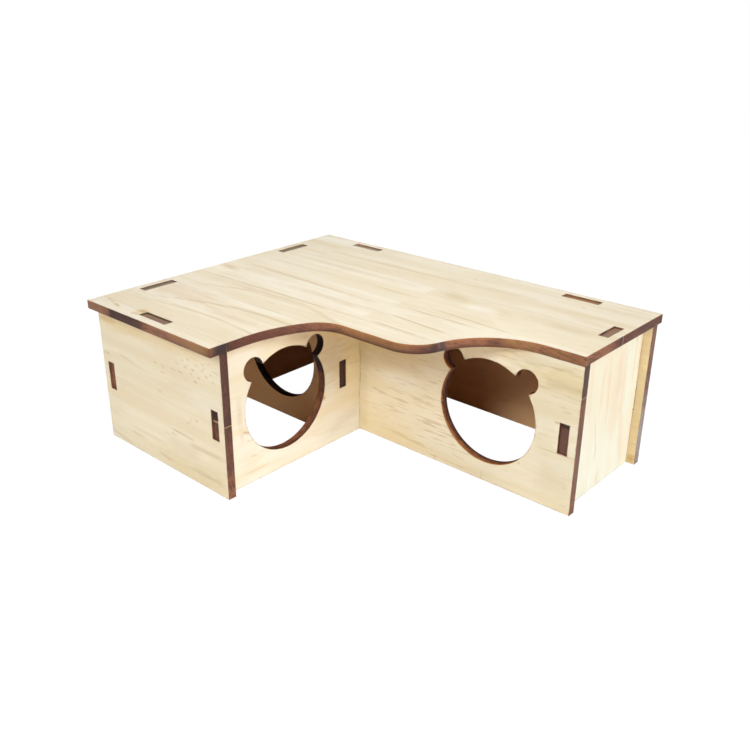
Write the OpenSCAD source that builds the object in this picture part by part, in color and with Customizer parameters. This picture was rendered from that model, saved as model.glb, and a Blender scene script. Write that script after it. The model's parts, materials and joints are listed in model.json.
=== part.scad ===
// Wooden hamster house: an L-shaped hideout of flat boards that slot together.
// It has no floor. Two bear-shaped doors open onto a porch in the corner of the
// L, a partition with a third door parts the two rooms, and the roof lifts off.
// Millimetres. +X runs along the long back wall, -Y is the front, +Z is up.
// The origin is the middle of the footprint, on the ground.

/* [House] */
// Length of the roof, the same as the back wall's
house_length = 300; // [270:1:340]
// Depth of the roof from its front edge to its back edge
house_depth = 235; // [220:1:270]
// Width of the front leg, the same as the front end wall's length
leg_width = 132; // [115:1:145]
// Distance from the roof's front edge back to the front door wall's face
porch_depth = 137; // [122:1:150]
// Height of the walls
wall_height = 100; // [92:1:140]
// Thickness of every board
board = 6; // [4:0.5:8]
// How far a wall's end runs past the wall that is slotted into it
wall_end = 6; // [4:0.5:9]
// How far the roof hangs over in front of the front end wall
front_overhang = 7; // [3:0.5:12]
// How far the roof hangs over behind the back wall
back_overhang = 5.5; // [3:0.5:12]
// Depth of the room in the front leg, from the end wall to the partition
front_room_depth = 103; // [90:1:108]

/* [Doors] */
// Diameter of the round part of the two doors on the porch
door_diameter = 72; // [60:1:78]
// How much smaller across the door in the partition is
inner_door_less = 4; // [0:0.5:8]
// Height of the round part's centre above the ground
door_height = 50; // [42:0.5:54]
// Diameter of the two ears of a porch door
ear_diameter = 16; // [12:0.5:20]
// Distance between the centres of the ears
ear_spacing = 54.6; // [48:0.2:60]
// Height of the ears' centres above the round part's centre
ear_rise = 29.3; // [26:0.1:31]
// Distance from the end wall's inner face to the centre of the porch's side door
side_door_place = 52; // [45:0.5:60]
// Distance from the right end wall's inner face to the centre of the front door
front_door_place = 52.5; // [45:0.5:65]

/* [Tabs] */
// Height of the tabs that join wall to wall
side_tab_height = 20; // [14:1:30]
// Length of the roof tabs on the front, left and back walls
roof_tab_length = 27; // [20:1:34]
// Length of the roof tab on the right end wall
end_tab_length = 20; // [14:1:28]
// Distance from the roof's left edge to the centre of the front roof tab
front_tab_place = 65; // [55:0.5:75]
// Distance between the two roof tabs of the left side wall
left_tab_spacing = 132; // [100:1:150]
// Distance between the two roof tabs of the back wall
back_tab_spacing = 194; // [150:1:210]
// How far the end of each tab stays below the face it shows in
tab_recess = 1; // [0.5:0.1:2]
// Gap on each side of a tab in its slot
slot_gap = 0.15; // [0.1:0.05:0.3]

/* [Wavy edge] */
// Distance from the roof's front edge back to the straight stretch over the porch
canopy_depth = 80.8; // [74:0.2:90]
// How far that stretch reaches to the right of the front leg
canopy_reach = 69.5; // [55:0.5:80]
// Radius of the nose at the end of the stretch
nose_radius = 24; // [16:0.5:28]
// Radius of the hollow that runs from the nose to the right-hand leg
sweep_radius = 53; // [44:0.5:56]
// Radius of the tight part of the hollow beside the front leg
hollow_radius = 23.5; // [16:0.5:28]
// Radius of the gentle part of that hollow, next to the front leg
entry_radius = 90; // [70:1:110]
// Angle that the gentle part turns through
entry_angle = 28; // [18:1:32]

/* [Hidden] */
$fn = 180;
// Reach of a cut past a face
past = 1;
// Depth to which a tab is rooted in its board
root = 1;

// Edges of the roof
x_left = -house_length / 2;
x_right = house_length / 2;
y_front = -house_depth / 2;
y_back = house_depth / 2;
x_leg = x_left + leg_width;

// Outer faces of the walls
left_face = x_left + wall_end;
porch_face = x_leg - wall_end;
right_face = x_right - wall_end;
end_face = y_front + front_overhang;
step_face = y_front + porch_depth;
back_face = y_back - back_overhang;

// Inner faces of the walls
left_in = left_face + board;
porch_in = porch_face - board;
right_in = right_face - board;
end_in = end_face + board;
step_in = step_face + board;
back_in = back_face - board;

// Partition and the free end of the front door wall
partition_face = end_in + front_room_depth;
step_end = porch_in - wall_end;

// How far a tab stands out of its board, and the side tabs' lower edge
tab_reach = board - tab_recess;
side_tab_z = (wall_height - side_tab_height) / 2;

// Centres of the doors
side_door_y = end_in + side_door_place;
front_door_x = right_in - front_door_place;
partition_door_x = (left_in + porch_in) / 2;

// Centres of the roof tabs
front_tab_x = x_left + front_tab_place;
left_tab_ys = [for (s = [-1, 1]) (end_in + back_in) / 2 + s * left_tab_spacing / 2];
back_tab_xs = [for (s = [-1, 1]) s * back_tab_spacing / 2];
right_tab_y = (step_in + back_in) / 2;

// Arcs of the wavy edge: each centre follows from the arc or edge it runs into
canopy_edge = y_front + canopy_depth;
radius_step = entry_radius - hollow_radius;
hollow_x = x_leg + entry_radius - radius_step * cos(entry_angle);
hollow_y = canopy_edge - hollow_radius;
entry_x = x_leg + entry_radius;
entry_y = hollow_y - radius_step * sin(entry_angle);
nose_x = x_leg + canopy_reach;
nose_y = canopy_edge + nose_radius;
sweep_y = step_face - sweep_radius;
sweep_x = nose_x + sqrt(pow(nose_radius + sweep_radius, 2) - pow(nose_y - sweep_y, 2));

// Board standing along X, with its front face at y
module board_x(x0, x1, y) {
    translate([x0, y, 0])
        cube([x1 - x0, board, wall_height]);
}

// Board standing along Y, with its left face at x
module board_y(x, y0, y1) {
    translate([x, y0, 0])
        cube([board, y1 - y0, wall_height]);
}

// Upright tab on a board along X or Y, centred at x or y
module roof_tab_x(x, y, length) {
    translate([x - length / 2, y, wall_height - root])
        cube([length, board, root + tab_reach]);
}

module roof_tab_y(x, y, length) {
    translate([x, y - length / 2, wall_height - root])
        cube([board, length, root + tab_reach]);
}

// Tab on the end of a board along X or Y: side is -1 for the low end, 1 for the high end
module side_tab_x(x, y, side) {
    translate([side > 0 ? x - root : x - tab_reach, y, side_tab_z])
        cube([root + tab_reach, board, side_tab_height]);
}

module side_tab_y(x, y, side) {
    translate([x, side > 0 ? y - root : y - tab_reach, side_tab_z])
        cube([board, root + tab_reach, side_tab_height]);
}

// Slot through a board along X for the side tab of a board whose left face is at x
module slot_in_x(x, y) {
    translate([x - slot_gap, y - past, side_tab_z - slot_gap])
        cube([board + 2 * slot_gap, board + 2 * past, side_tab_height + 2 * slot_gap]);
}

// Slot through a board along Y for the side tab of a board whose front face is at y
module slot_in_y(x, y) {
    translate([x - past, y - slot_gap, side_tab_z - slot_gap])
        cube([board + 2 * past, board + 2 * slot_gap, side_tab_height + 2 * slot_gap]);
}

// Slots through the roof for a tab along X or Y
module roof_slot_x(x, y, length) {
    translate([x - length / 2 - slot_gap, y - slot_gap, wall_height - past])
        cube([length + 2 * slot_gap, board + 2 * slot_gap, board + 2 * past]);
}

module roof_slot_y(x, y, length) {
    translate([x - slot_gap, y - length / 2 - slot_gap, wall_height - past])
        cube([board + 2 * slot_gap, length + 2 * slot_gap, board + 2 * past]);
}

// Door cut: a round hole with two ears, running along +Y from the ground point.
// The ears keep their proportion to the round part.
module door(diameter) {
    share = diameter / door_diameter;
    translate([0, 0, door_height])
        rotate([-90, 0, 0])
            cylinder(h = board + 2 * past, d = diameter);
    for (s = [-1, 1])
        translate([s * share * ear_spacing / 2, 0, door_height + share * ear_rise])
            rotate([-90, 0, 0])
                cylinder(h = board + 2 * past, d = share * ear_diameter);
}

// Door through a board along X or Y
module door_in_x(x, y, diameter) {
    translate([x, y - past, 0])
        door(diameter);
}

module door_in_y(x, y, diameter) {
    translate([x - past, y, 0])
        rotate([0, 0, -90])
            door(diameter);
}

// Wood between the front leg and the canopy, hollowed by two arcs that run together
module leg_hollow() {
    difference() {
        translate([x_leg - root, entry_y])
            square([hollow_x - x_leg + root, canopy_edge - entry_y + root]);
        translate([hollow_x, hollow_y])
            circle(r = hollow_radius);
        intersection() {
            translate([entry_x, entry_y])
                circle(r = entry_radius);
            translate([entry_x, entry_y])
                polygon(2 * entry_radius * [[0, 0], [-1, 0], [-cos(entry_angle), sin(entry_angle)]]);
        }
    }
}

// Wood behind the sweep that joins the nose to the right-hand leg
module nose_sweep() {
    difference() {
        polygon([[nose_x, nose_y], [sweep_x, sweep_y],
            [sweep_x, step_face + root], [nose_x - root, step_face + root]]);
        translate([sweep_x, sweep_y])
            circle(r = sweep_radius);
    }
}

// Outline of the roof: back leg, front leg and the canopy over the porch
module roof_outline() {
    translate([x_left, step_face])
        square([house_length, y_back - step_face]);
    translate([x_left, y_front])
        square([leg_width, porch_depth + root]);
    translate([x_leg - root, canopy_edge])
        square([canopy_reach + root, step_face - canopy_edge + root]);
    translate([nose_x, nose_y])
        circle(r = nose_radius);
    leg_hollow();
    nose_sweep();
}

module roof_panel() {
    color("wheat")
        difference() {
            translate([0, 0, wall_height])
                linear_extrude(board)
                    roof_outline();
            roof_slot_x(front_tab_x, end_face, roof_tab_length);
            for (y = left_tab_ys)
                roof_slot_y(left_face, y, roof_tab_length);
            for (x = back_tab_xs)
                roof_slot_x(x, back_in, roof_tab_length);
            roof_slot_y(right_in, right_tab_y, end_tab_length);
        }
}

module front_end_wall() {
    color("burlywood")
        difference() {
            union() {
                board_x(x_left, x_leg, end_face);
                roof_tab_x(front_tab_x, end_face, roof_tab_length);
            }
            slot_in_x(left_face, end_face);
            slot_in_x(porch_in, end_face);
        }
}

module left_side_wall() {
    color("tan")
        difference() {
            union() {
                board_y(left_face, end_in, back_in);
                for (y = left_tab_ys)
                    roof_tab_y(left_face, y, roof_tab_length);
                side_tab_y(left_face, end_in, -1);
                side_tab_y(left_face, back_in, 1);
            }
            slot_in_y(left_face, partition_face);
        }
}

module porch_door_wall() {
    color("navajowhite")
        difference() {
            union() {
                board_y(porch_in, end_in, step_face);
                side_tab_y(porch_in, end_in, -1);
                side_tab_y(porch_in, step_face, 1);
            }
            slot_in_y(porch_in, partition_face);
            door_in_y(porch_in, side_door_y, door_diameter);
        }
}

module inner_partition() {
    color("peru")
        difference() {
            union() {
                board_x(left_in, porch_in, partition_face);
                side_tab_x(left_in, partition_face, -1);
                side_tab_x(porch_in, partition_face, 1);
            }
            door_in_x(partition_door_x, partition_face, door_diameter - inner_door_less);
        }
}

module front_door_wall() {
    color("moccasin")
        difference() {
            board_x(step_end, x_right, step_face);
            slot_in_x(porch_in, step_face);
            slot_in_x(right_in, step_face);
            door_in_x(front_door_x, step_face, door_diameter);
        }
}

module right_end_wall() {
    color("blanchedalmond")
        union() {
            board_y(right_in, step_in, back_in);
            roof_tab_y(right_in, right_tab_y, end_tab_length);
            side_tab_y(right_in, step_in, -1);
            side_tab_y(right_in, back_in, 1);
        }
}

module back_wall() {
    color("burlywood")
        difference() {
            union() {
                board_x(x_left, x_right, back_in);
                for (x = back_tab_xs)
                    roof_tab_x(x, back_in, roof_tab_length);
            }
            slot_in_x(left_face, back_in);
            slot_in_x(right_in, back_in);
        }
}

roof_panel();
front_end_wall();
left_side_wall();
porch_door_wall();
inner_partition();
front_door_wall();
right_end_wall();
back_wall();
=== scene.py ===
# %% [markdown]
# # A slotted wooden hamster house
#
# The real thing is eight flat boards of bare pine, cut out by a laser and pushed
# together with tabs and slots. Nothing on it is turned, moulded or painted, so
# everything that makes it look real is in three places: the thin browned rims of
# the boards, the scorched cut edges, and the quiet figure of the pine itself.
# This script takes the exact boards from the packed model, gives each one those
# rims, and builds one pine and one scorched-edge finish for all of them.

# %% Frame and tools
import json
import math

import bmesh
import bpy
from mathutils import Matrix, Vector


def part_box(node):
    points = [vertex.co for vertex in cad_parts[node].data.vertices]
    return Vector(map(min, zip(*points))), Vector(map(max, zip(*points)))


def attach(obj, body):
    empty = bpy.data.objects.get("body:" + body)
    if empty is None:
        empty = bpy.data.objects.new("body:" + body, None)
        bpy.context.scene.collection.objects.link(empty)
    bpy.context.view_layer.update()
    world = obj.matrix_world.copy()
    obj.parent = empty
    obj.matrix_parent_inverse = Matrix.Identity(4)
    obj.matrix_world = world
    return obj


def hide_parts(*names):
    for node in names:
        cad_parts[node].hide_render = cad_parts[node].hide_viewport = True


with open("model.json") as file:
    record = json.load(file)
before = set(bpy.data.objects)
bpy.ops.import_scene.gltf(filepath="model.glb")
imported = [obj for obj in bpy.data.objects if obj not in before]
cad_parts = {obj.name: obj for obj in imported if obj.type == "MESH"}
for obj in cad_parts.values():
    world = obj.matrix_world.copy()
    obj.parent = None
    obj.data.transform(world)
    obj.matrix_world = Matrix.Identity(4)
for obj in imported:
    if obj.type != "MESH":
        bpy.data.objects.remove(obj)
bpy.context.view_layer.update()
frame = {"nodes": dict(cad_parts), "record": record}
MM = 0.001


def in_scene(name, data):
    """A new object with that data, in the scene."""
    thing = bpy.data.objects.new(name, data)
    bpy.context.scene.collection.objects.link(thing)
    return thing


print("nodes:", ", ".join(sorted(frame["nodes"])))

# %% [markdown]
# ## The camera
#
# The photograph was taken from the right and a little above, with the near lower
# corner of the porch walls almost in the middle. A camera can be placed by eye,
# but straight boards show every degree of error, so the position, turn and lens
# were worked out from the corners of the boards. The picture's centre lies a
# little off the lens axis, which the camera's shift takes up.

# %% Camera
IMAGE = 750
FOCAL_PX = 863.7
CENTRE_PX = (345.2, 369.4)
SENSOR = 36
CAMERA_PLACE = (0.36099, -0.40235, 0.29507)
HEADING, DESCENT, ROLL = 133.442, 23.425, -0.375


def aim(forward, roll):
    """Turn of a camera that looks along forward, rolled by a few degrees."""
    side = forward.cross(Vector((0, 0, 1))).normalized()
    up = side.cross(forward)
    turn = Matrix((side, up, -forward)).transposed()
    return turn @ Matrix.Rotation(math.radians(roll), 3, "Z")


heading, descent = math.radians(HEADING), math.radians(DESCENT)
level = math.cos(descent)
forward = Vector((level * math.cos(heading), level * math.sin(heading), -math.sin(descent)))

lens = bpy.data.cameras.new("camera")
lens.sensor_width = SENSOR
lens.lens = FOCAL_PX * SENSOR / IMAGE
lens.shift_x = (IMAGE / 2 - CENTRE_PX[0]) / IMAGE
lens.shift_y = (CENTRE_PX[1] - IMAGE / 2) / IMAGE
lens.clip_start, lens.clip_end = 0.01, 50
camera = in_scene("camera", lens)
camera.matrix_world = Matrix.Translation(CAMERA_PLACE) @ aim(forward, ROLL).to_4x4()
bpy.context.scene.camera = camera
print("lens in mm:", round(lens.lens, 2))

# %% [markdown]
# ## A small kit for node trees
#
# Every material here is built in code. Writing `nodes.new` and `links.new` for
# each node soon hides the idea behind the wiring, so a short helper makes a node,
# sets its options and joins its inputs in one line. A value that isn't a socket is
# simply set as the input's default.

# %% Wiring
class Wiring:
    """Adds nodes to a node tree and joins them up."""

    def __init__(self, tree):
        self.tree = tree

    def feed(self, socket, value):
        """Joins value to the socket, or sets it there if it isn't a socket."""
        if isinstance(value, bpy.types.NodeSocket):
            self.tree.links.new(value, socket)
        else:
            socket.default_value = value

    def add(self, kind, inputs=(), **options):
        """A node of that kind; inputs is a list in socket order or a dict by socket name."""
        node = self.tree.nodes.new(kind)
        for name, value in options.items():
            setattr(node, name, value)
        pairs = inputs.items() if isinstance(inputs, dict) else enumerate(inputs)
        for key, value in pairs:
            self.feed(node.inputs[key], value)
        return node

    def math(self, operation, *inputs):
        return self.add("ShaderNodeMath", inputs, operation=operation).outputs[0]

    def vector(self, operation, *inputs):
        return self.add("ShaderNodeVectorMath", inputs, operation=operation).outputs[0]

    def join(self, *parts):
        return self.add("ShaderNodeCombineXYZ", parts).outputs[0]

    def split(self, vector):
        return self.add("ShaderNodeSeparateXYZ", (vector,)).outputs

    def spread(self, value, low, high, to_low=0.0, to_high=1.0):
        """value, stretched so that low..high becomes to_low..to_high, with soft ends."""
        inputs = (value, low, high, to_low, to_high)
        return self.add("ShaderNodeMapRange", inputs, interpolation_type="SMOOTHSTEP").outputs[0]

    def mix(self, factor, a, b):
        """Colour a where factor is 0 and b where it is 1."""
        node = self.add("ShaderNodeMix", data_type="RGBA", clamp_factor=True)
        self.feed(node.inputs[0], factor)
        self.feed(node.inputs[6], a)
        self.feed(node.inputs[7], b)
        return node.outputs[2]

    def noise(self, vector, scale, detail=2.0, roughness=0.5):
        inputs = {"Vector": vector, "Scale": scale, "Detail": detail, "Roughness": roughness}
        return self.add("ShaderNodeTexNoise", inputs).outputs["Fac"]

    def stretched(self, vector, stretch, detail=2.0, roughness=0.5):
        """Noise with its own number of waves in a millimetre along each of the three axes."""
        return self.noise(self.vector("MULTIPLY", vector, stretch), 1.0, detail, roughness)

    def group(self, tree, inputs):
        return self.add("ShaderNodeGroup", inputs, node_tree=tree).outputs


print("wiring helpers:", ", ".join(name for name in vars(Wiring) if name[0] != "_"))

# %% [markdown]
# ## Colours and empty groups
#
# A colour is easiest to read off a screen, as red, green and blue from 0 to 255.
# Shaders count light instead, where half as bright is half the number, so every
# colour goes through the screen's own curve once. The second helper opens a new
# node group and gives it its named inputs and outputs, because four groups
# follow, one for each thing that the boards' finishes have in common.

# %% Colours and groups
def colour(red, green, blue):
    """A colour given as 0 to 255 on a screen, in the linear values that shaders use."""
    shares = (value / 255 for value in (red, green, blue))
    linear = (s / 12.92 if s <= 0.0404 else ((s + 0.055) / 1.055) ** 2.4 for s in shares)
    return (*linear, 1)


def new_group(name, inputs, outputs):
    """An empty node group: its wiring, its inputs and its outputs.

    inputs has each input's usual value, or None for a vector; outputs has each output's kind.
    """
    tree = bpy.data.node_groups.new(name, "ShaderNodeTree")
    for label, value in inputs.items():
        kind = "NodeSocketVector" if value is None else "NodeSocketFloat"
        socket = tree.interface.new_socket(label, in_out="INPUT", socket_type=kind)
        if value is not None:
            socket.default_value = value
    for label, kind in outputs.items():
        tree.interface.new_socket(label, in_out="OUTPUT", socket_type="NodeSocket" + kind)
    given = tree.nodes.new("NodeGroupInput").outputs
    result = tree.nodes.new("NodeGroupOutput").inputs
    return Wiring(tree), given, result


print("cream in linear values:", [round(c, 3) for c in colour(240, 226, 195)[:3]])

# %% [markdown]
# ## Strips and staves
#
# Wide pine sheet is glued up from strips, and each strip from shorter staves that
# meet in a row of fine fingers. Every stave comes from another plank, so the
# figure and the tone change at each joint. This group takes a point on a board and
# says which stave it is on, as three random numbers that stay the same all over
# the stave. It also says how far past the nearest joint the point lies, below zero
# before the joint. The other groups use the random numbers to move their noise,
# which is how one pattern becomes many planks.

# %% Stave group
FINGER_PITCH, FINGER_DEPTH = 4.0, 5.0
STAGGER = 0.37

staves, given, result = new_group(
    "glued_staves",
    {"Along": 0.0, "Across": 0.0, "First Joint": 0.0, "Strip Width": 85.0, "First End": 0.0,
     "Stave Length": 330.0, "Seed": 0.0},
    {"Random": "Vector", "Past Joint": "Float", "End Distance": "Float"},
)
place = staves.math("SUBTRACT", given["Across"], given["First Joint"])
place = staves.math("DIVIDE", place, given["Strip Width"])
strip = staves.math("FLOOR", place)
past = staves.math("SUBTRACT", place, staves.math("ROUND", place))
staves.feed(result["Past Joint"], staves.math("MULTIPLY", past, given["Strip Width"]))

fingers = staves.math("PINGPONG", given["Across"], FINGER_PITCH / 2)
fingers = staves.math("MULTIPLY", fingers, FINGER_DEPTH / FINGER_PITCH * 2)
run = staves.math("SUBTRACT", staves.math("ADD", given["Along"], fingers), given["First End"])
run = staves.math("DIVIDE", run, given["Stave Length"])
run = staves.math("ADD", run, staves.math("MULTIPLY", strip, STAGGER))
stave = staves.math("FLOOR", run)
within = staves.math("FRACT", run)
nearest = staves.math("MINIMUM", within, staves.math("SUBTRACT", 1.0, within))
staves.feed(result["End Distance"], staves.math("MULTIPLY", nearest, given["Stave Length"]))

key = staves.join(strip, stave, given["Seed"])
random = staves.add("ShaderNodeTexWhiteNoise", {"Vector": key}, noise_dimensions="3D")
staves.feed(result["Random"], random.outputs["Color"])
print("group:", staves.tree.name, len(staves.tree.nodes), "nodes")

# %% [markdown]
# ## Pine figure: one noise, stretched many ways
#
# Seen close, bare pine has several patterns at once: growth rings, fine fibres,
# short resin dashes, broad bands and warm patches. All of them are long along the
# grain and narrow across it, because a tree grows one way. They could come from
# pictures of wood, but a picture ends at its border and knows nothing of the cut
# edge. Here each one is a noise in the solid, with its own stretch. The table
# gives its waves in a millimetre along the grain, across it and through the
# board, then its detail and its roughness.

# %% Stretched noises
PATTERNS = {
    "ripple": ((0.016, 0.08, 0.08), 3.0, 0.6),
    "fade": ((0.012, 0.05, 0.05), 2.0, 0.5),
    "fibres": ((0.03, 1.6, 1.6), 4.0, 0.62),
    "dash": ((0.06, 0.56, 0.56), 2.0, 0.45),
    "cluster": ((0.01, 0.03, 0.03), 1.0, 0.5),
    "warmth": ((0.009, 0.06, 0.06), 3.0, 0.55),
    "bands": ((0.0035, 0.06, 0.06), 3.0, 0.6),
}
FAR_APART = (911.0, 373.0, 157.0)

pine, given, result = new_group(
    "pine_figure",
    {"Grain Vector": None, "Random": None, "Ring Shift": 0.1, "Fleck Amount": 0.5},
    {"Rings": "Float", "Fibres": "Float", "Flecks": "Float", "Warmth": "Float", "Bands": "Float"},
)
moved = pine.vector("MULTIPLY", given["Random"], FAR_APART)
shifted = pine.vector("ADD", given["Grain Vector"], moved)


def pattern(name):
    """That pattern of the table, each stave with its own piece of it."""
    return pine.stretched(shifted, *PATTERNS[name])


print("patterns of the pine:", ", ".join(PATTERNS))

# %% [markdown]
# ## Pine figure: growth rings
#
# The lines on a flat-sawn face are growth rings, cut at a shallow angle, so they
# run in long loops and arches. They could be worked out from a trunk with rings
# around its middle, but the lines on these boards wander more than rings around a
# straight middle would. So the ripple is read like a map of hills: wherever its
# height passes a whole step there is a line, as a contour line on the map. It
# darkens slowly on one side and ends sharply on the other, as late wood does.
# Some lines are fainter than others, and each fades in and out along its way.
# "Ring Shift" raises the whole map a little, so that the lines fall elsewhere.

# %% Growth rings
RING_STEPS = 1.8

ring = pine.math("MULTIPLY", pattern("ripple"), RING_STEPS)
ring = pine.math("ADD", given["Ring Shift"], ring)
phase = pine.math("FRACT", ring)
late = pine.math("MULTIPLY", pine.spread(phase, 0.2, 0.84), pine.spread(phase, 1.0, 0.88))
number = pine.math("FLOOR", ring)
year = pine.add("ShaderNodeTexWhiteNoise", {"W": number}, noise_dimensions="1D").outputs["Value"]
faint = pine.spread(year, 0.1, 1.0, 0.2, 1.0)
clear = pine.math("MULTIPLY", faint, pine.spread(pattern("fade"), 0.3, 0.62))
pine.feed(result["Rings"], pine.math("MULTIPLY", late, clear))
print("rings are drawn with", len(pine.tree.nodes), "nodes")

# %% [markdown]
# ## Pine figure: fibres, dashes and bands
#
# Between the rings lie fine fibres, and short resin dashes that gather in some
# places: several millimetres long and one wide. Each dash could be a mark of its
# own, but there are hundreds, so they are the peaks of a noise. A second, slower
# noise says where the peaks may be lower and still count, and that makes the
# clusters. Broad warm patches and bands run over all of them.

# %% Fibres, dashes and bands
PEAK = 0.74

pine.feed(result["Fibres"], pattern("fibres"))
gate = pine.spread(pattern("cluster"), 0.3, 0.7, 0.04, 0.19)
gate = pine.math("MULTIPLY", given["Fleck Amount"], gate)
over = pine.math("SUBTRACT", pattern("dash"), pine.math("SUBTRACT", PEAK, gate))
pine.feed(result["Flecks"], pine.spread(over, -0.03, 0.12))
pine.feed(result["Warmth"], pine.spread(pattern("warmth"), 0.4, 0.72))
pine.feed(result["Bands"], pine.spread(pattern("bands"), 0.4, 0.62))
print("group:", pine.tree.name, len(pine.tree.nodes), "nodes")

# %% [markdown]
# ## Marks with a place
#
# Some marks have a place of their own: a dark streak near a slot, a resin smear
# beside a door, a patch where the beam slowed down. Noise can't be told where to
# go, so this group draws one long soft spot where it is asked to, with a wavering
# outline. It also takes the marks drawn so far and keeps the stronger of the two.
# A board then needs only a list of places, and one group node for each.

# %% Soft mark group
RAGGED = (0.09, 0.35, 0.35)
WAVER = 0.9

spot, given, result = new_group(
    "soft_mark",
    {"Place": None, "Centre Along": 0.0, "Centre Across": 0.0, "Half Length": 10.0,
     "Half Width": 1.0, "Slope": 0.0, "Strength": 1.0, "Bend": 0.0, "So Far": 0.0},
    {"Marks": "Float"},
)
at = spot.split(given["Place"])
along = spot.math("SUBTRACT", at[0], given["Centre Along"])
slope = spot.math("ADD", given["Slope"], spot.math("MULTIPLY", along, given["Bend"]))
middle = spot.math("ADD", given["Centre Across"], spot.math("MULTIPLY", along, slope))
across = spot.math("SUBTRACT", at[1], middle)
waver = spot.math("SUBTRACT", spot.stretched(given["Place"], RAGGED, 3.0, 0.6), 0.5)
waver = spot.math("MULTIPLY", waver, WAVER)
across = spot.math("DIVIDE", spot.math("ABSOLUTE", across), given["Half Width"])
across = spot.math("ADD", across, waver)
along = spot.math("DIVIDE", spot.math("ABSOLUTE", along), given["Half Length"])
along = spot.math("ADD", along, waver)
mask = spot.math("MULTIPLY", spot.spread(across, 1.1, 0.0), spot.spread(along, 1.0, 0.3))
mask = spot.math("MULTIPLY", mask, given["Strength"])
spot.feed(result["Marks"], spot.math("MAXIMUM", given["So Far"], mask))

MARK = ("Centre Along", "Centre Across", "Half Length", "Half Width", "Slope", "Strength", "Bend")


def soft_marks(wiring, place, rows):
    """The strongest of the marks in rows, which hold values in MARK's order, or 0 for none."""
    so_far = 0.0
    for row in rows:
        inputs = {"Place": place, "So Far": so_far, **dict(zip(MARK, row))}
        so_far = wiring.group(spot.tree, inputs)[0]
    return so_far


print("group:", spot.tree.name, len(spot.tree.nodes), "nodes")

# %% [markdown]
# ## Scorched cut: the browns
#
# A laser burns its way through the board, so every cut edge is brown: dark where
# the beam lingered, reddish or golden where it moved fast, and nearly black at a
# glue joint. The beam leaves fine upright lines, from one face to the other, and
# the wood's own grain crosses them in leaning streaks. The group works in
# millimetres with its third axis through the board. One flat brown would look
# like paint, so two browns drift into each other over some centimetres. The lines
# are a noise that is drawn out along the third axis, and the streaks one that
# leans.

# %% Browns of the cut
LEAN = 1.4
UPRIGHT = (1.0, 1.0, 0.15)
STREAKY = (0.22, 0.22, 0.45)
DEEP_BROWN, RED_BROWN = colour(112, 69, 51), colour(160, 106, 76)
STREAK_BROWN, GOLD_BROWN = colour(76, 48, 44), colour(172, 124, 76)

burn, given, result = new_group(
    "scorched_cut",
    {"Cut Vector": None, "Through": 0.5, "Random": None, "Past Joint": 40.0, "Gold": 0.0,
     "Dark": 0.0, "Gold Side": 0.0, "Charred Above": 0.0, "Soot": 0.0, "Glint": 0.0},
    {"Color": "Color", "Lines": "Float"},
)
at = burn.split(given["Cut Vector"])
lean = burn.math("MULTIPLY", at[2], LEAN)
leaning = burn.join(burn.math("ADD", at[0], lean), burn.math("ADD", at[1], lean), at[2])
lines = burn.vector("MULTIPLY", given["Cut Vector"], UPRIGHT)
lines = burn.noise(lines, 1.1, 3.0, 0.6)
own = burn.split(given["Random"])
drift = burn.math("MULTIPLY", burn.math("SUBTRACT", own[2], 0.5), 0.12)
drift = burn.math("ADD", burn.noise(given["Cut Vector"], 0.03, 3.0), drift)
blotch = burn.stretched(leaning, STREAKY, 3.0, 0.6)

tone = burn.mix(burn.spread(drift, 0.36, 0.64), DEEP_BROWN, RED_BROWN)
blotched = burn.math("MULTIPLY", burn.spread(blotch, 0.42, 0.64), 0.65)
tone = burn.mix(blotched, tone, STREAK_BROWN)
tone = burn.mix(given["Gold"], tone, GOLD_BROWN)
print("browns are mixed with", len(burn.tree.nodes), "nodes")

# %% [markdown]
# ## Scorched cut: golden and charred rims
#
# The beam is narrower on one side of the board than on the other. So a cut often
# has one golden rim and one charred rim. Two thin strips of mesh could carry them,
# but they fray into each other along the streaks, which a mask does better. "Gold
# Side" says which side is golden and how much, from -1 to 1. Both rims also have
# a broken light line, where the cut meets the face.

# %% Rims of the cut
GOLD_RIM, CHAR_RIM, LIGHT_RIM = colour(190, 124, 56), colour(58, 34, 30), colour(172, 118, 64)

half_way = burn.math("MULTIPLY", burn.math("SUBTRACT", blotch, 0.5), 0.5)
half_way = burn.math("ADD", burn.math("SUBTRACT", given["Through"], 0.5), half_way)
golden = burn.math("MULTIPLY", half_way, burn.math("MULTIPLY", given["Gold Side"], 2.0))
gold_rim = burn.math("MULTIPLY", burn.spread(golden, 0.15, 0.9), 0.9)
tone = burn.mix(gold_rim, tone, GOLD_RIM)
char_rim = burn.math("MULTIPLY", burn.spread(golden, 0.1, -0.7), 0.85)
tone = burn.mix(char_rim, tone, CHAR_RIM)
rim = burn.math("MAXIMUM", burn.spread(given["Through"], 0.9, 1.0),
                burn.spread(given["Through"], 0.1, 0.0))
rim_break = burn.spread(burn.noise(given["Cut Vector"], 0.06, 2.0), 0.4, 0.65, 0.1, 0.75)
tone = burn.mix(burn.math("MULTIPLY", rim, rim_break), tone, LIGHT_RIM)
print("rims and browns take", len(burn.tree.nodes), "nodes")

# %% [markdown]
# ## Scorched cut: soot, glue and the beam's lines
#
# Where the beam lingered the whole cut is dark, and in some boards one strip is
# more charred than its neighbour. Glue burns black just before a joint, and in
# some places a thin pale line is left in it. All of these depend on the place, so
# they come in through the group's inputs and are mixed over the rims. The upright
# lines come last, because they lighten and darken all the other tones alike.

# %% Soot and lines of the cut
DARK_CUT, CHARRED_CUT = colour(72, 50, 45), colour(62, 42, 42)
SOOT, GLUE_GLINT = colour(58, 48, 48), colour(204, 164, 122)
GLUE_AT = 0.3

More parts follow.
